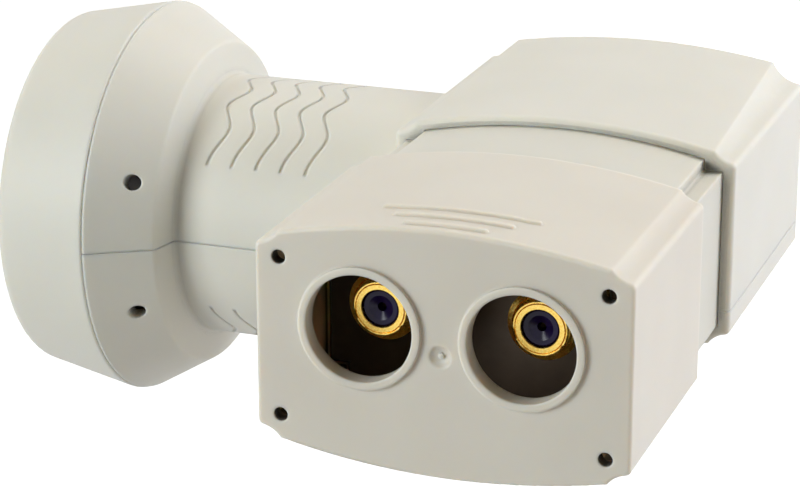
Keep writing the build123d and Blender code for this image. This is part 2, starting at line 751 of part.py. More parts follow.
# F connectors: turned brass with a hex flange against the seal, a plain tapered nose and a stepped bore
insulator_front = connector_reach - insulator_setback
funnel_floor = insulator_front - funnel_depth
for side, x in zip(("left", "right"), connector_xs):
    with BuildPart() as connector:
        with BuildSketch(axis_plane(x)):
            with BuildLine():
                Polyline(
                    (bulkhead_y - tray_front_y, insulator_diameter / 2 + press_clearance),
                    (bulkhead_y - tray_front_y, shank_diameter / 2),
                    (seal_section, shank_diameter / 2),
                    (seal_section, thread_diameter / 2),
                    (connector_reach - nose_taper, thread_diameter / 2),
                    (connector_reach, nose_diameter / 2),
                    (connector_reach, insulator_diameter / 2 + press_clearance),
                    close=True,
                )
            make_face()
        revolve(axis=connector_axis(x))
        with BuildSketch(connector_plane(x, seal_section)):
            RegularPolygon(flange_across_flats / 2, 6, major_radius=False)
            Circle(shank_diameter / 2, mode=Mode.SUBTRACT)
        extrude(amount=flange_thickness)
    connector.part.label = f"{side}_f_connector"
    export_step(connector.part, f"parts/{side}_f_connector.step")

    with BuildPart() as insulator:
        with BuildSketch(axis_plane(x)):
            with BuildLine():
                Polyline(
                    (-sleeve_wall, contact_diameter / 2 + press_clearance),
                    (-sleeve_wall, insulator_diameter / 2),
                    (insulator_front, insulator_diameter / 2),
                    (insulator_front, funnel_diameter / 2),
                    (funnel_floor, socket_diameter / 2),
                    (connector_reach - socket_depth, socket_diameter / 2),
                    (connector_reach - socket_depth, contact_diameter / 2 + press_clearance),
                    close=True,
                )
            make_face()
        revolve(axis=connector_axis(x))
    insulator.part.label = f"{side}_insulator"
    export_step(insulator.part, f"parts/{side}_insulator.step")

    with BuildPart() as contact_pin:
        with BuildSketch(connector_plane(x, connector_reach - socket_depth)):
            Circle(contact_diameter / 2)
        extrude(amount=bulkhead_y - connector_reach + socket_depth - board_front_y - contact_on_board)
    contact_pin.part.label = f"{side}_contact_pin"
    export_step(contact_pin.part, f"parts/{side}_contact_pin.step")

    with BuildPart() as connector_seal:
        with BuildSketch(axis_plane(x)):
            with Locations((seal_section / 2, shank_diameter / 2 + press_clearance + seal_section / 2)):
                Circle(seal_section / 2 - press_clearance)
        revolve(axis=connector_axis(x))
    connector_seal.part.label = f"{side}_connector_seal"
    export_step(connector_seal.part, f"parts/{side}_connector_seal.step")

# Grip ribs of the cover: three round ridges turned about the axis of its crown, the longest at the back
brow_half = box_width / 2 - cove_width
crown_drop = (crown_height - side_height) / 2 - cove_depth
crown_radius = (brow_half**2 + crown_drop**2) / (2 * crown_drop)
crown_axis_z = box_lift + crown_height / 2 - crown_radius
rib_centre_radius = crown_radius + rib_height - rib_round
with BuildPart() as grip_ribs:
    for step, span in enumerate(rib_spans):
        lean = asin(span / 2 / crown_radius)
        rib_y = cover_face_y + rib_setback + step * rib_pitch
        crown_middle = (box_centre_x, rib_y, crown_axis_z)
        spoke = (-sin(lean), 0, cos(lean))
        with BuildSketch(Plane(origin=crown_middle, x_dir=spoke, z_dir=(-cos(lean), 0, -sin(lean)))):
            with Locations((rib_centre_radius, 0)):
                Circle(rib_round)
        revolve(axis=Axis(crown_middle, (0, 1, 0)), revolution_arc=2 * degrees(lean))
        for side in (-1, 1):
            end_x = box_centre_x + side * rib_centre_radius * sin(lean)
            with Locations((end_x, rib_y, crown_axis_z + rib_centre_radius * cos(lean))):
                Sphere(rib_round)

# Weather cover: a cup of the box section that slides on the sleeve, with a raised collar round each
# plug hole, a drain hole at each corner and a dimple at the middle of its face.
dimple_radius = ((dimple_diameter / 2) ** 2 + dimple_depth**2) / (2 * dimple_depth)
plug_places = [(x - box_centre_x, connector_z - box_lift) for x in connector_xs]
with BuildPart() as weather_cover:
    with BuildSketch(section_plane(cover_rear_y)):
        add(box_section)
    extrude(amount=cover_length)
    fillet(weather_cover.faces().sort_by(Axis.Y)[0].edges(), cover_edge)
    with BuildSketch(section_plane(cover_rear_y)):
        add(notched_outline(cover_clearance))
    extrude(amount=cover_length - cover_face_wall, mode=Mode.SUBTRACT)
    with BuildSketch(section_plane(cover_face_y)):
        with Locations(*plug_places):
            Circle(collar_diameter / 2)
    extrude(amount=collar_height)
    with BuildSketch(section_plane(cover_face_y - collar_height)):
        with Locations(*plug_places):
            Circle(plug_hole_diameter / 2)
    extrude(amount=-(collar_height + cover_face_wall), mode=Mode.SUBTRACT)
    with BuildSketch(section_plane(cover_face_y)):
        with GridLocations(drain_spread_x, drain_spread_z, 2, 2):
            Circle(drain_diameter / 2)
    extrude(amount=-cover_face_wall, mode=Mode.SUBTRACT)
    with Locations((box_centre_x, cover_face_y + dimple_depth - dimple_radius, box_lift)):
        Sphere(dimple_radius, mode=Mode.SUBTRACT)
    add(grip_ribs.part)
weather_cover.part.label = "weather_cover"
export_step(weather_cover.part, "parts/weather_cover.step")
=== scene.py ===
import math

import bmesh
import bpy
from bmesh.types import BMEdge, BMVert
from mathutils import Matrix, Vector, noise


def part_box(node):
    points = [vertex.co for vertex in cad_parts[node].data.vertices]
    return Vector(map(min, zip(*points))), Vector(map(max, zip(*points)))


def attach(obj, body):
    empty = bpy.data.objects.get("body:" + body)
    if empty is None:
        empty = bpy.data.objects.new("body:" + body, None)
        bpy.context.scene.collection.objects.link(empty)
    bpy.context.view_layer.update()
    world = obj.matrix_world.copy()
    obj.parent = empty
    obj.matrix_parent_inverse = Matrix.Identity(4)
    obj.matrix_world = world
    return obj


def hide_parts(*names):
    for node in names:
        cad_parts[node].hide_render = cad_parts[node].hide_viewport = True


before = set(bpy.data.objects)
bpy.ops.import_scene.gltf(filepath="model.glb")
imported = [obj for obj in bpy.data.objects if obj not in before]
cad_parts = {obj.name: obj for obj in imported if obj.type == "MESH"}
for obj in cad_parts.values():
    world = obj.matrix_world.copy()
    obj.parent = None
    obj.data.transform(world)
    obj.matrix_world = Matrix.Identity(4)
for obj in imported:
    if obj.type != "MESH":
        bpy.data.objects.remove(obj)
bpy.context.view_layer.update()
bpy.context.scene.view_settings.view_transform = "Standard"


# Feed casting and chassis lid: horn, waveguide and board tray are one pressure die casting, and the
# lid that closes the tray is another. Both are trimmed and tumbled zinc, left bare inside the casing.
def linear(hex_colour):
    """Linear RGBA of an sRGB hex colour."""
    channels = [int(hex_colour[i:i + 2], 16) / 255 for i in (0, 2, 4)]
    return [c / 12.92 if c <= 0.04045 else ((c + 0.055) / 1.055) ** 2.4 for c in channels] + [1.0]


def add_node(tree, kind, inputs=None, **settings):
    """Adds one node with its settings, and with a value or a link for each named input."""
    made = tree.nodes.new(kind)
    for name, value in settings.items():
        setattr(made, name, value)
    for name, value in (inputs or {}).items():
        if isinstance(value, bpy.types.NodeSocket):
            tree.links.new(value, made.inputs[name])
        else:
            made.inputs[name].default_value = value
    return made


def start_material(name):
    """A new material with an empty node tree."""
    material = bpy.data.materials.new(name)
    material.use_nodes = True
    material.node_tree.nodes.clear()
    return material, material.node_tree


def shade_between(ramp, dark, light, start=0.3, end=0.7):
    """Sets a colour ramp's two stops."""
    ramp.color_ramp.elements[0].position = start
    ramp.color_ramp.elements[0].color = linear(dark)
    ramp.color_ramp.elements[1].position = end
    ramp.color_ramp.elements[1].color = linear(light)


def dress(material, *names):
    """Gives CAD nodes a material."""
    for name in names:
        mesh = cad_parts[name].data
        mesh.materials.clear()
        mesh.materials.append(material)


# Tumbled zinc: dull pale grey with cloudy patches of flow, and a fine pebbled skin.
cast_patch = 0.006
cast_pebble = 0.0005
pebble_height = 0.00005
zinc, tree = start_material("tumbled die-cast zinc")
place = add_node(tree, "ShaderNodeTexCoord").outputs["Object"]
clouds = add_node(tree, "ShaderNodeTexNoise", {"Vector": place, "Scale": 1 / cast_patch, "Detail": 3.0})
tone = add_node(tree, "ShaderNodeValToRGB", {"Fac": clouds.outputs["Fac"]})
shade_between(tone, "96979a", "bcbdbe")
pebble = add_node(tree, "ShaderNodeTexNoise", {"Vector": place, "Scale": 1 / cast_pebble, "Detail": 2.0})
skin = add_node(tree, "ShaderNodeBump", {
    "Height": pebble.outputs["Fac"], "Strength": 0.4, "Distance": pebble_height})
shader = add_node(tree, "ShaderNodeBsdfPrincipled", {
    "Base Color": tone.outputs["Color"], "Metallic": 1.0, "Roughness": 0.45,
    "Normal": skin.outputs["Normal"]})
add_node(tree, "ShaderNodeOutputMaterial", {"Surface": shader.outputs["BSDF"]})
dress(zinc, "horn_casting", "chassis_lid")

# Probe bushings: short tubes turned from PTFE rod, pressed into the casting round each probe.
# PTFE is a waxy white with faint lathe streaks and a soft sheen.
ptfe_streak = 0.0012
ptfe, tree = start_material("turned PTFE")
place = add_node(tree, "ShaderNodeTexCoord").outputs["Object"]
streaks = add_node(tree, "ShaderNodeTexNoise", {"Vector": place, "Scale": 1 / ptfe_streak, "Detail": 2.0})
tone = add_node(tree, "ShaderNodeValToRGB", {"Fac": streaks.outputs["Fac"]})
shade_between(tone, "e6e6e0", "f4f4f0")
shader = add_node(tree, "ShaderNodeBsdfPrincipled", {
    "Base Color": tone.outputs["Color"], "Roughness": 0.42, "IOR": 1.35})
add_node(tree, "ShaderNodeOutputMaterial", {"Surface": shader.outputs["BSDF"]})
dress(ptfe, "probe_bushings")

# Probes and contact pins: lengths of drawn brass wire, one straight and one bent probe soldered to the
# board and a pin out to each connector. The wire is dull yellow with brownish handling tarnish.
tarnish_patch = 0.0015
brass, tree = start_material("drawn brass wire")
place = add_node(tree, "ShaderNodeTexCoord").outputs["Object"]
tarnish = add_node(tree, "ShaderNodeTexNoise", {"Vector": place, "Scale": 1 / tarnish_patch, "Detail": 3.0})
tone = add_node(tree, "ShaderNodeValToRGB", {"Fac": tarnish.outputs["Fac"]})
shade_between(tone, "a98a4a", "c9ab63")
shader = add_node(tree, "ShaderNodeBsdfPrincipled", {
    "Base Color": tone.outputs["Color"], "Metallic": 1.0, "Roughness": 0.32})
add_node(tree, "ShaderNodeOutputMaterial", {"Surface": shader.outputs["BSDF"]})
dress(brass, "upright_probe", "side_probe", "left_contact_pin", "right_contact_pin")

# Circuit board: a glass-filled laminate etched with copper tracks under green solder mask, laid on the
# tray floor. The mask is a glossy green, a little paler over the blocks of copper.
track_block = 0.004
track_row = track_block / 3
track_gap = 0.0004
track_height = 0.00004
laminate, tree = start_material("solder mask on laminate")
place = add_node(tree, "ShaderNodeTexCoord").outputs["Object"]
tracks = add_node(tree, "ShaderNodeTexBrick", {
    "Vector": place, "Color1": linear("2f6b45"), "Color2": linear("34744b"), "Mortar": linear("1d4a30"),
    "Scale": 1.0, "Brick Width": track_block, "Row Height": track_row, "Mortar Size": track_gap / 2})
step = add_node(tree, "ShaderNodeBump", {
    "Height": tracks.outputs["Fac"], "Strength": 0.5, "Distance": track_height}, invert=True)
shader = add_node(tree, "ShaderNodeBsdfPrincipled", {
    "Base Color": tracks.outputs["Color"], "Roughness": 0.25, "Normal": step.outputs["Normal"]})
add_node(tree, "ShaderNodeOutputMaterial", {"Surface": shader.outputs["BSDF"]})
dress(laminate, "circuit_board")

# Transistors, mixers and regulators: chips in transfer-moulded epoxy, soldered flat on the board.
# The epoxy is a sooty black with a fine matt grit.
epoxy_grit = 0.0002
grit_height = 0.00002
epoxy, tree = start_material("moulded chip epoxy")
place = add_node(tree, "ShaderNodeTexCoord").outputs["Object"]
grit = add_node(tree, "ShaderNodeTexNoise", {"Vector": place, "Scale": 1 / epoxy_grit, "Detail": 2.0})
tone = add_node(tree, "ShaderNodeValToRGB", {"Fac": grit.outputs["Fac"]})
shade_between(tone, "17171a", "26262a")
skin = add_node(tree, "ShaderNodeBump", {
    "Height": grit.outputs["Fac"], "Strength": 0.3, "Distance": grit_height})
shader = add_node(tree, "ShaderNodeBsdfPrincipled", {
    "Base Color": tone.outputs["Color"], "Roughness": 0.6, "Normal": skin.outputs["Normal"]})
add_node(tree, "ShaderNodeOutputMaterial", {"Surface": shader.outputs["BSDF"]})
dress(epoxy, "low_noise_transistors", "mixer_chips", "voltage_regulators")

# Capacitors and resonator pucks: pressed powder fired hard, the capacitors soldered and the pucks
# glued down. Fired ceramic is a dry chalky tan with darker specks.
ceramic_speck = 0.0004
ceramics = (
    ("filter_capacitors", "8c7355", "a78b68"),
    ("resonator_pucks", "d6c8aa", "e4d8bd"),
)
for name, dark, light in ceramics:
    ceramic, tree = start_material(f"fired ceramic of {name}")
    place = add_node(tree, "ShaderNodeTexCoord").outputs["Object"]
    specks = add_node(tree, "ShaderNodeTexNoise", {
        "Vector": place, "Scale": 1 / ceramic_speck, "Detail": 4.0})
    tone = add_node(tree, "ShaderNodeValToRGB", {"Fac": specks.outputs["Fac"]})
    shade_between(tone, dark, light)
    shader = add_node(tree, "ShaderNodeBsdfPrincipled", {
        "Base Color": tone.outputs["Color"], "Roughness": 0.7})
    add_node(tree, "ShaderNodeOutputMaterial", {"Surface": shader.outputs["BSDF"]})
    dress(ceramic, name)

# Lid, board and tuning screws: cold-headed steel with a thin bright zinc plating.
# The plating is a cool silver, blotched where the passivation dried unevenly.
plating_blotch = 0.0018
plated_steel, tree = start_material("zinc-plated steel")
place = add_node(tree, "ShaderNodeTexCoord").outputs["Object"]
blotch = add_node(tree, "ShaderNodeTexNoise", {"Vector": place, "Scale": 1 / plating_blotch, "Detail": 3.0})
tone = add_node(tree, "ShaderNodeValToRGB", {"Fac": blotch.outputs["Fac"]})
shade_between(tone, "a4a8ad", "c6c9cc")
gloss = add_node(tree, "ShaderNodeMapRange", {
    "Value": blotch.outputs["Fac"], "To Min": 0.22, "To Max": 0.4})
shader = add_node(tree, "ShaderNodeBsdfPrincipled", {
    "Base Color": tone.outputs["Color"], "Metallic": 1.0, "Roughness": gloss.outputs["Result"]})
add_node(tree, "ShaderNodeOutputMaterial", {"Surface": shader.outputs["BSDF"]})
dress(plated_steel, "lid_screws", "board_screws", "tuning_screws")

# Seals: the lid gasket, the O-rings of the cap and the connectors, and the pad over the bulkhead, all
# moulded in rubber. It is a soft brownish black with a dusty bloom.
rubber_bloom = 0.003
rubber_grain = 0.00025
rubber_grain_height = 0.00002
rubber, tree = start_material("moulded EPDM rubber")
place = add_node(tree, "ShaderNodeTexCoord").outputs["Object"]
bloom_and_painted_crease_light = add_node(tree, "ShaderNodeTexNoise", {"Vector": place, "Scale": 1 / rubber_bloom, "Detail": 3.0})
tone = add_node(tree, "ShaderNodeValToRGB", {"Fac": bloom_and_painted_crease_light.outputs["Fac"]})
shade_between(tone, "54463a", "5f5042")
grain = add_node(tree, "ShaderNodeTexNoise", {"Vector": place, "Scale": 1 / rubber_grain, "Detail": 2.0})
skin = add_node(tree, "ShaderNodeBump", {
    "Height": grain.outputs["Fac"], "Strength": 0.2, "Distance": rubber_grain_height})
shader = add_node(tree, "ShaderNodeBsdfPrincipled", {
    "Base Color": tone.outputs["Color"], "Roughness": 0.62, "Normal": skin.outputs["Normal"]})
add_node(tree, "ShaderNodeOutputMaterial", {"Surface": shader.outputs["BSDF"]})
dress(rubber, "lid_gasket", "cap_seal", "left_connector_seal", "right_connector_seal", "bulkhead_pad")

# F connectors: jacks turned from brass rod with a hexagon and a 32-to-the-inch thread, then gold plated.
# Each goes through the bulkhead into the casting, with the hexagon pressing on its seal.
nose_radius = 0.00378
nose_length = 0.0007
nose_face_radius = 0.0032
bead_inset = 0.00008
bead_rise = 0.00025
bead_foot = 0.0004
bead_nick = 0.00006
nick_inset = 0.00012
nick_length = 0.00035
bore_edge = 0.00008
thread_radius = 0.0047
thread_pitch = 0.0254 / 32
thread_depth = 0.00046
thread_foot = 0.000115
crest_start = 0.42
crest_end = 0.58
taper_length = 0.0013
shank_radius = 0.004
bore_radius = 0.0025
hexagon_flats = 0.011
hexagon_thickness = 0.0022
hexagon_from_nose = 0.0121
hexagon_edge = 0.0003
round_steps = 72
merge_gap = 1e-7


def new_piece(name, mesh_shape, material, crease=35):
    """Makes an object of a bmesh, smooth but for edges sharper than the crease angle in degrees."""
    bmesh.ops.remove_doubles(mesh_shape, verts=mesh_shape.verts, dist=merge_gap)
    bmesh.ops.recalc_face_normals(mesh_shape, faces=mesh_shape.faces)
    for face in mesh_shape.faces:
        face.smooth = True
    mesh = bpy.data.meshes.new(name)
    mesh_shape.to_mesh(mesh)
    mesh_shape.free()
    mesh.set_sharp_from_angle(angle=math.radians(crease))
    mesh.materials.append(material)
    made = bpy.data.objects.new(name, mesh)
    bpy.context.scene.collection.objects.link(made)
    return made


def only(kind, parts):
    """Those parts of a mesh that are of one kind."""
    return [part for part in parts if isinstance(part, kind)]


def add_outline(mesh_shape, points):
    """Adds a closed line of edges through points of radius and height, and returns its verts and edges."""
    verts = [mesh_shape.verts.new((radius, 0, height)) for radius, height in points]
    return verts + [mesh_shape.edges.new(pair) for pair in zip(verts, verts[1:] + verts[:1])]


def turn_on_lathe(mesh_shape, points):
    """Spins a closed outline of radius and height a full turn about the Z axis."""
    bmesh.ops.spin(mesh_shape, geom=add_outline(mesh_shape, points), cent=(0, 0, 0), axis=(0, 0, 1),
                   angle=2 * math.pi, steps=round_steps, use_merge=True)


def point_forward(mesh_shape, low, high):
    """Turns a shape that stands on the origin to point along -Y, from the back of a node's box."""
    middle = (low + high) / 2
    turned = Matrix.Translation((middle.x, high.y, middle.z)) @ Matrix.Rotation(math.radians(90), 4, "X")
    bmesh.ops.transform(mesh_shape, matrix=turned, verts=mesh_shape.verts)


# Gold plating: a warm bright yellow that sparkles on the tool marks of the turned brass, which are drawn
# coarser than the real ones so that they show.
tool_mark = 0.0003
mark_height = 0.00004
gold, tree = start_material("gold plating on turned brass")
place = add_node(tree, "ShaderNodeTexCoord").outputs["Object"]
marks = add_node(tree, "ShaderNodeTexNoise", {"Vector": place, "Scale": 1 / tool_mark, "Detail": 2.0})
tone = add_node(tree, "ShaderNodeValToRGB", {"Fac": marks.outputs["Fac"]})
shade_between(tone, "e2b750", "f2d57c")
gloss = add_node(tree, "ShaderNodeMapRange", {
    "Value": marks.outputs["Fac"], "To Min": 0.16, "To Max": 0.34})
skin = add_node(tree, "ShaderNodeBump", {
    "Height": marks.outputs["Fac"], "Strength": 0.5, "Distance": mark_height})
shader = add_node(tree, "ShaderNodeBsdfPrincipled", {
    "Base Color": tone.outputs["Color"], "Metallic": 1.0, "Roughness": gloss.outputs["Result"],
    "Normal": skin.outputs["Normal"]})
add_node(tree, "ShaderNodeOutputMaterial", {"Surface": shader.outputs["BSDF"]})

for side in ("left", "right"):
    low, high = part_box(f"{side}_f_connector")
    length = high.y - low.y
    hexagon_back = length - hexagon_from_nose
    hexagon_front = hexagon_back + hexagon_thickness
    root_radius = thread_radius - thread_depth
    jack = bmesh.new()
    turn_on_lathe(jack, (
        (bore_radius, 0),
        (shank_radius, 0),
        (shank_radius, hexagon_back),
        (root_radius, hexagon_back),
        (root_radius, length - taper_length),
        (nose_radius, length - nose_length),
        (nose_radius, length - bead_foot),
        (nose_radius - bead_inset, length - bead_rise),
        (nose_radius - bead_rise, length - bead_inset),
        (nose_face_radius + bead_inset * 2, length - bead_inset),
        (nose_face_radius + bead_inset, length - bead_rise),
        (nose_face_radius, length),
        (bore_radius + bore_edge, length),
        (bore_radius, length - bore_edge),
    ))

    # The tool has nicked the bead round the nose, so that it glitters
    for vert in jack.verts:
        radius = math.hypot(vert.co.x, vert.co.y)
        if radius > nose_face_radius + nick_inset and vert.co.z > length - nick_length:
            vert.co.z += bead_nick * noise.noise(vert.co / bead_rise)

    # The thread is one ridge wound up from the hexagon and cut back by the taper behind the nose
    lathe_verts = set(jack.verts)
    turns = int((length - hexagon_front) / thread_pitch) - 1
    ridge = add_outline(jack, (
        (root_radius - thread_foot, hexagon_front),
        (thread_radius, hexagon_front + crest_start * thread_pitch),
        (thread_radius, hexagon_front + crest_end * thread_pitch),
        (root_radius - thread_foot, hexagon_front + thread_pitch),
    ))
    wound = bmesh.ops.spin(jack, geom=ridge, cent=(0, 0, 0), axis=(0, 0, 1), angle=2 * math.pi * turns,
                           steps=round_steps * turns, dvec=(0, 0, thread_pitch / round_steps))
    for end in (ridge, wound["geom_last"]):
        bmesh.ops.contextual_create(jack, geom=only(BMEdge, end))
    taper_slope = (thread_radius - nose_radius) / (taper_length - nose_length)
    for vert in set(jack.verts) - lathe_verts:
        radius = math.hypot(vert.co.x, vert.co.y)
        cone = nose_radius + (length - nose_length - vert.co.z) * taper_slope
        if radius > cone:
            vert.co.xy *= cone / radius

    # The hexagon is a block round the shank with its front edges bevelled
    corner_radius = hexagon_flats / 2 / math.cos(math.pi / 6)
    hexagon = bmesh.ops.create_circle(jack, cap_ends=True, radius=corner_radius, segments=6,
                                      matrix=Matrix.Translation((0, 0, hexagon_back)))
    base = hexagon["verts"][0].link_faces[0]
    lifted = bmesh.ops.extrude_face_region(jack, geom=[base], use_keep_orig=True)["geom"]
    bmesh.ops.translate(jack, verts=only(BMVert, lifted), vec=(0, 0, hexagon_thickness))
    bmesh.ops.bevel(jack, geom=only(BMEdge, lifted), offset=hexagon_edge, affect="EDGES", segments=2,
                    profile=0.5, material=-1)

    point_forward(jack, low, high)
    connector = new_piece(f"{side}_threaded_jack", jack, gold)
    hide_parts(f"{side}_f_connector")
    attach(connector, "base")

# Insulators: plastic plugs moulded in dark purple, pressed into the bore of each connector, with a dish
# that leads the cable's wire to the contact. They are glossy, with a faint cloudiness.
dish_radius = 0.00165
dish_depth = 0.0005
wire_hole = 0.0006
pin_hole = 0.00045
socket_length = 0.0036
plug_edge = 0.0002
purple_cloud = 0.0015
purple, tree = start_material("dyed polypropylene")
place = add_node(tree, "ShaderNodeTexCoord").outputs["Object"]
cloud = add_node(tree, "ShaderNodeTexNoise", {"Vector": place, "Scale": 1 / purple_cloud, "Detail": 2.0})
tone = add_node(tree, "ShaderNodeValToRGB", {"Fac": cloud.outputs["Fac"]})
shade_between(tone, "170d33", "201444")
shader = add_node(tree, "ShaderNodeBsdfPrincipled", {
    "Base Color": tone.outputs["Color"], "Roughness": 0.2, "Specular IOR Level": 0.25})
add_node(tree, "ShaderNodeOutputMaterial", {"Surface": shader.outputs["BSDF"]})
for side in ("left", "right"):
    low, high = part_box(f"{side}_insulator")
    length = high.y - low.y
    radius = (high.x - low.x) / 2
    plug = bmesh.new()
    turn_on_lathe(plug, (
        (pin_hole, 0),
        (radius, 0),
        (radius, length - plug_edge),
        (radius - plug_edge, length),
        (dish_radius, length),
        (wire_hole, length - dish_depth),
        (wire_hole, length - socket_length),
        (pin_hole, length - socket_length),
    ))
    point_forward(plug, low, high)
    insulator = new_piece(f"{side}_dished_plug", plug, purple, crease=15)
    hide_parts(f"{side}_insulator")
    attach(insulator, "base")

# Connector sleeve, casing and weather cover: thin walls injection moulded in weather-proof ASA. The two
# halves of the casing are clipped and screwed round the casting, and the cover slides on the sleeve.
grain_size = 0.0003
grain_height = 0.00002
batch_patch = 0.02
soft_edge = 0.0005
crease_reach = 0.0005
hole_reach = 0.004
scatter_depth = 0.0012
feeler_rays = 6
mouldings = (
    ("warm grey-white ASA", "dcd9cd", "e1ded3", ("connector_sleeve",)),
    ("cream-white ASA", "e2dfd4", "e6e3d9", ("upper_shell", "lower_shell", "feed_cap")),
    ("beige-white ASA", "e1dacd", "e5dfd3", ("weather_cover",)),
)

# Spark-eroded ASA: an off-white of its own batch for each moulding, with a faint grain and edges softened
# by the mould. Light scatters in it and brightens the edges. Painted light, a pale colour, lifts the shade
# in the creases, and painted shade, a near-black colour, darkens the small holes.
plastics = {}
for name, dark, light, shells in mouldings:
    plastic, tree = start_material(name)
    place = add_node(tree, "ShaderNodeTexCoord").outputs["Object"]
    patch = add_node(tree, "ShaderNodeTexNoise", {"Vector": place, "Scale": 1 / batch_patch, "Detail": 2.0})
    tone = add_node(tree, "ShaderNodeValToRGB", {"Fac": patch.outputs["Fac"]})
    shade_between(tone, dark, light)
    # Painted light: a pale colour, mixed in where the short AO finds a crease, lifts the shade in the
    # grooves and at the foot of the ribs.
    near_sky = add_node(tree, "ShaderNodeAmbientOcclusion", {"Distance": crease_reach}, samples=feeler_rays)
    bloom_and_painted_crease_light = add_node(tree, "ShaderNodeMapRange", {
        "Value": near_sky.outputs["AO"], "From Min": 0.15, "From Max": 0.6, "To Min": 0.8, "To Max": 0.0})
    crease_light_painted = add_node(tree, "ShaderNodeMixRGB", {
        "Fac": bloom_and_painted_crease_light.outputs["Result"], "Color1": tone.outputs["Color"], "Color2": linear("fffdf6")})
    # Painted shade: a near-black colour, mixed in where the long AO finds a hole that the short one does
    # not, darkens the vents and drains.
    far_sky = add_node(tree, "ShaderNodeAmbientOcclusion", {"Distance": hole_reach}, samples=feeler_rays)
    hole_shade_mask = add_node(tree, "ShaderNodeMath", {0: near_sky.outputs["AO"], 1: far_sky.outputs["AO"]},
                       operation="SUBTRACT")
    hole_shade_amount = add_node(tree, "ShaderNodeMapRange", {
        "Value": hole_shade_mask.outputs["Value"], "From Min": 0.35, "From Max": 0.6,
        "To Min": 0.0, "To Max": 0.95})
    with_painted_hole_shade = add_node(tree, "ShaderNodeMixRGB", {
        "Fac": hole_shade_amount.outputs["Result"], "Color1": crease_light_painted.outputs["Color"], "Color2": linear("1d1712")})
    rounded = add_node(tree, "ShaderNodeBevel", {"Radius": soft_edge}, samples=feeler_rays)
    grain = add_node(tree, "ShaderNodeTexNoise", {"Vector": place, "Scale": 1 / grain_size, "Detail": 3.0})
    skin = add_node(tree, "ShaderNodeBump", {
        "Height": grain.outputs["Fac"], "Strength": 0.2, "Distance": grain_height,
        "Normal": rounded.outputs["Normal"]})
    shader = add_node(tree, "ShaderNodeBsdfPrincipled", {
        "Base Color": with_painted_hole_shade.outputs["Color"], "Roughness": 0.5, "IOR": 1.5,
        "Normal": skin.outputs["Normal"], "Subsurface Weight": 1.0,
        "Subsurface Radius": (1.0, 0.85, 0.65), "Subsurface Scale": scatter_depth})
    add_node(tree, "ShaderNodeOutputMaterial", {"Surface": shader.outputs["BSDF"]})
    dress(plastic, *shells)
    plastics[name] = plastic

# Shell screws: four pan-head screws with a cross recess, driven up from below through the lower shell
# into the posts of the upper one. They are cold-headed steel with the same bright zinc plating.
head_radius = 0.0022
head_height = 0.0016
head_crown = 0.0006
head_steps = 36
crown_share = 0.8
brow_share = 0.94
brow_rise = 0.6
screw_shank = 0.0012
tip_length = 0.0024
tip_share = 0.2
recess_reach = 0.0012
recess_width = 0.0004
recess_depth = 0.001
recess_taper = 0.55


def grow(mesh_shape, loop, scale, rise):
    """Extrudes a loop of edges, scales it about the Z axis and lifts it, and returns the new loop."""
    grown = bmesh.ops.extrude_edge_only(mesh_shape, edges=loop)["geom"]
    verts = only(BMVert, grown)
    bmesh.ops.scale(mesh_shape, vec=(scale, scale, 1), verts=verts)
    bmesh.ops.translate(mesh_shape, vec=(0, 0, rise), verts=verts)
    corners = set(verts)
    return [edge for edge in only(BMEdge, grown) if corners.issuperset(edge.verts)]


screw_low, screw_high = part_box("shell_screws")
screw_length = screw_high.z - screw_low.z
screws = bmesh.new()
crown_radius = head_radius * crown_share
rim = bmesh.ops.create_circle(screws, radius=crown_radius, segments=head_steps)["verts"]
rim_loop = list({edge for vert in rim for edge in vert.link_edges})
arm = ((recess_reach, -recess_width), (recess_reach, recess_width), (recess_width, recess_width))
cross = []
for quarter in range(4):
    turn = Matrix.Rotation(quarter * math.pi / 2, 2)
    cross += [screws.verts.new((*(turn @ Vector(point)), 0)) for point in arm]
cross_loop = [screws.edges.new(pair) for pair in zip(cross, cross[1:] + cross[:1])]
bmesh.ops.bridge_loops(screws, edges=rim_loop + cross_loop)
recess_floor = grow(screws, cross_loop, recess_taper, recess_depth)
bmesh.ops.contextual_create(screws, geom=recess_floor)
loop = grow(screws, rim_loop, brow_share * head_radius / crown_radius, head_crown * brow_rise)
loop = grow(screws, loop, 1 / brow_share, head_crown * (1 - brow_rise))
loop = grow(screws, loop, 1.0, head_height - head_crown)
loop = grow(screws, loop, screw_shank / head_radius, 0)
loop = grow(screws, loop, 1.0, screw_length - head_height - tip_length)
loop = grow(screws, loop, tip_share, tip_length)
bmesh.ops.contextual_create(screws, geom=loop)
first_screw = list(screws.verts) + list(screws.edges) + list(screws.faces)
places = [(x, y) for x in (screw_low.x + head_radius, screw_high.x - head_radius)
          for y in (screw_low.y + head_radius, screw_high.y - head_radius)]
for x, y in places[1:]:
    copy = bmesh.ops.duplicate(screws, geom=first_screw)["geom"]
    bmesh.ops.translate(screws, vec=(x, y, screw_low.z), verts=only(BMVert, copy))
bmesh.ops.translate(screws, vec=(*places[0], screw_low.z), verts=only(BMVert, first_screw))
pan_heads = new_piece("cross_head_screws", screws, plated_steel)
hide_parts("shell_screws")
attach(pan_heads, "base")

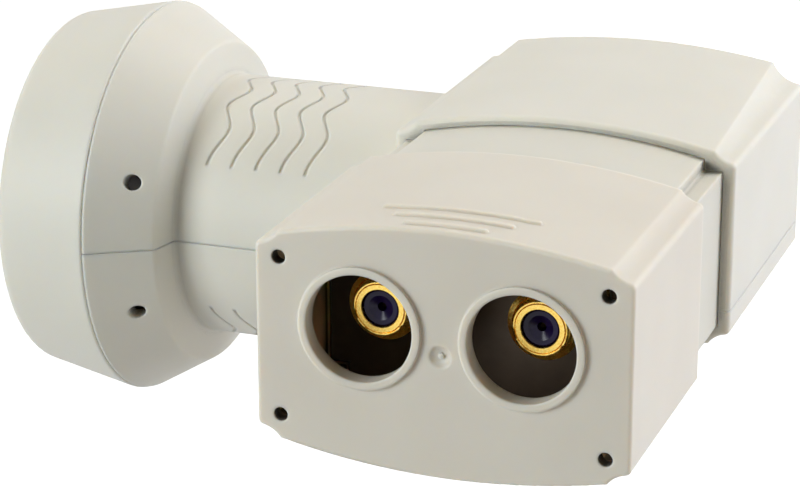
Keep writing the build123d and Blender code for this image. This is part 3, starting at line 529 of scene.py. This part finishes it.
# Gate mark of the weather cover: the stub where the plastic was fed into the mould, cut off short at
# the bottom of the dimple in the middle of the face. It is part of the cover and slides with it.
collar_height = 0.0006
dimple_depth = 0.0007
face_height = 0.0328
gate_radius = 0.00038
gate_height = 0.0004
gate_edge = 0.00008
gate_steps = 24
cover_low, cover_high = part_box("weather_cover")
gate_place = Vector((
    (cover_low.x + cover_high.x) / 2, cover_low.y + collar_height + dimple_depth,
    cover_low.z + face_height / 2))
gate = bmesh.new()
disc = bmesh.ops.create_circle(gate, cap_ends=True, radius=gate_radius, segments=gate_steps)["verts"]
raised = bmesh.ops.extrude_face_region(gate, geom=[disc[0].link_faces[0]], use_keep_orig=True)["geom"]
bmesh.ops.translate(gate, vec=(0, 0, gate_height), verts=only(BMVert, raised))
bmesh.ops.bevel(gate, geom=only(BMEdge, raised), offset=gate_edge, affect="EDGES", segments=2, profile=0.5,
                material=-1)
facing = Matrix.Translation(gate_place) @ Matrix.Rotation(math.radians(90), 4, "X")
bmesh.ops.transform(gate, matrix=facing, verts=gate.verts)
gate_mark = new_piece("cover_gate_mark", gate, plastics["beige-white ASA"])
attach(gate_mark, "cover")

# Floor: a sheet of white paper under the part. It shows white to the eye and to reflections, less the
# part's soft shadow, and sends plain diffuse light back up.
floor_drop = 0.12
floor_size = 4.0
paper_fibre = 0.002


def seen_directly(tree):
    """Whether a ray comes from the eye, a reflection or through glass, as 1 or 0."""
    ray = add_node(tree, "ShaderNodeLightPath")
    seen = add_node(tree, "ShaderNodeMath", {
        0: ray.outputs["Is Camera Ray"], 1: ray.outputs["Is Glossy Ray"]})
    seen = add_node(tree, "ShaderNodeMath", {
        0: seen.outputs["Value"], 1: ray.outputs["Is Transmission Ray"]}, use_clamp=True)
    return seen.outputs["Value"]


sheet = bmesh.new()
bmesh.ops.create_grid(sheet, x_segments=1, y_segments=1, size=floor_size,
                      matrix=Matrix.Translation((0, 0, -floor_drop)))
paper, tree = start_material("white paper")
place = add_node(tree, "ShaderNodeTexCoord").outputs["Object"]
fibres = add_node(tree, "ShaderNodeTexNoise", {"Vector": place, "Scale": 1 / paper_fibre, "Detail": 2.0})
tone = add_node(tree, "ShaderNodeValToRGB", {"Fac": fibres.outputs["Fac"]})
shade_between(tone, "bababa", "bebebe")
matt = add_node(tree, "ShaderNodeBsdfDiffuse", {"Color": tone.outputs["Color"]})
glow = add_node(tree, "ShaderNodeEmission", {"Color": linear("ffffff"), "Strength": 0.75})
lit = add_node(tree, "ShaderNodeAddShader", {0: matt.outputs["BSDF"], 1: glow.outputs["Emission"]})
look = add_node(tree, "ShaderNodeMixShader", {
    "Fac": seen_directly(tree), 1: matt.outputs["BSDF"], 2: lit.outputs["Shader"]})
add_node(tree, "ShaderNodeOutputMaterial", {"Surface": look.outputs["Shader"]})
floor = new_piece("floor", sheet, paper)

# Studio light: an even pale surround, a large soft box overhead, two to the right and one at the front
# left. The surround is white to the eye and to reflections.
lamp_aim = Vector((0.02, -0.02, 0.0))
soft_boxes = (
    ("overhead soft box", "fffaf0", (0.05, 0.35, 1.0), 6.9, 0.8),
    ("right rear soft box", "eef4ff", (0.9, 0.45, 0.35), 6.9, 0.5),
    ("right soft box", "fff4e8", (1.0, -0.05, 0.02), 2.2, 0.4),
    ("front left soft box", "f8feff", (-0.6, -0.76, 0.25), 7.0, 0.5),
)
world = bpy.data.worlds.new("studio")
bpy.context.scene.world = world
world.use_nodes = True
tree = world.node_tree
tree.nodes.clear()
ambient = add_node(tree, "ShaderNodeBackground", {"Color": linear("fffaf0"), "Strength": 0.05})
white = add_node(tree, "ShaderNodeBackground", {"Color": linear("ffffff"), "Strength": 1.0})
look = add_node(tree, "ShaderNodeMixShader", {
    "Fac": seen_directly(tree), 1: ambient.outputs["Background"], 2: white.outputs["Background"]})
add_node(tree, "ShaderNodeOutputWorld", {"Surface": look.outputs["Shader"]})
for name, tint, spot, power, size in soft_boxes:
    lamp = bpy.data.lights.new(name, "AREA")
    lamp.energy = power
    lamp.size = size
    lamp.color = linear(tint)[:3]
    holder = bpy.data.objects.new(name, lamp)
    holder.location = spot
    holder.rotation_euler = (lamp_aim - Vector(spot)).to_track_quat("-Z", "Y").to_euler()
    bpy.context.scene.collection.objects.link(holder)

# Camera: a long lens from the front right, a little above, as the photograph was taken.
frame_width = 800
focal_pixels = 2700
camera_place = (0.14458, -0.3654, 0.13084)
azimuth = math.radians(20.16)
elevation = math.radians(19.04)
roll = math.radians(-0.12)
right = Vector((math.cos(azimuth), math.sin(azimuth), 0))
level = Vector((-math.sin(azimuth), math.cos(azimuth), 0))
forward = math.cos(elevation) * level - Vector((0, 0, math.sin(elevation)))
up = right.cross(forward)
rolled_right = math.cos(roll) * right + math.sin(roll) * up
rolled_up = math.cos(roll) * up - math.sin(roll) * right
lens = bpy.data.cameras.new("camera")
lens.lens = lens.sensor_width * focal_pixels / frame_width
camera = bpy.data.objects.new("camera", lens)
turn = Matrix((rolled_right, rolled_up, -forward)).transposed()
camera.matrix_world = Matrix.Translation(camera_place) @ turn.to_4x4()
bpy.context.scene.collection.objects.link(camera)
bpy.context.scene.camera = camera
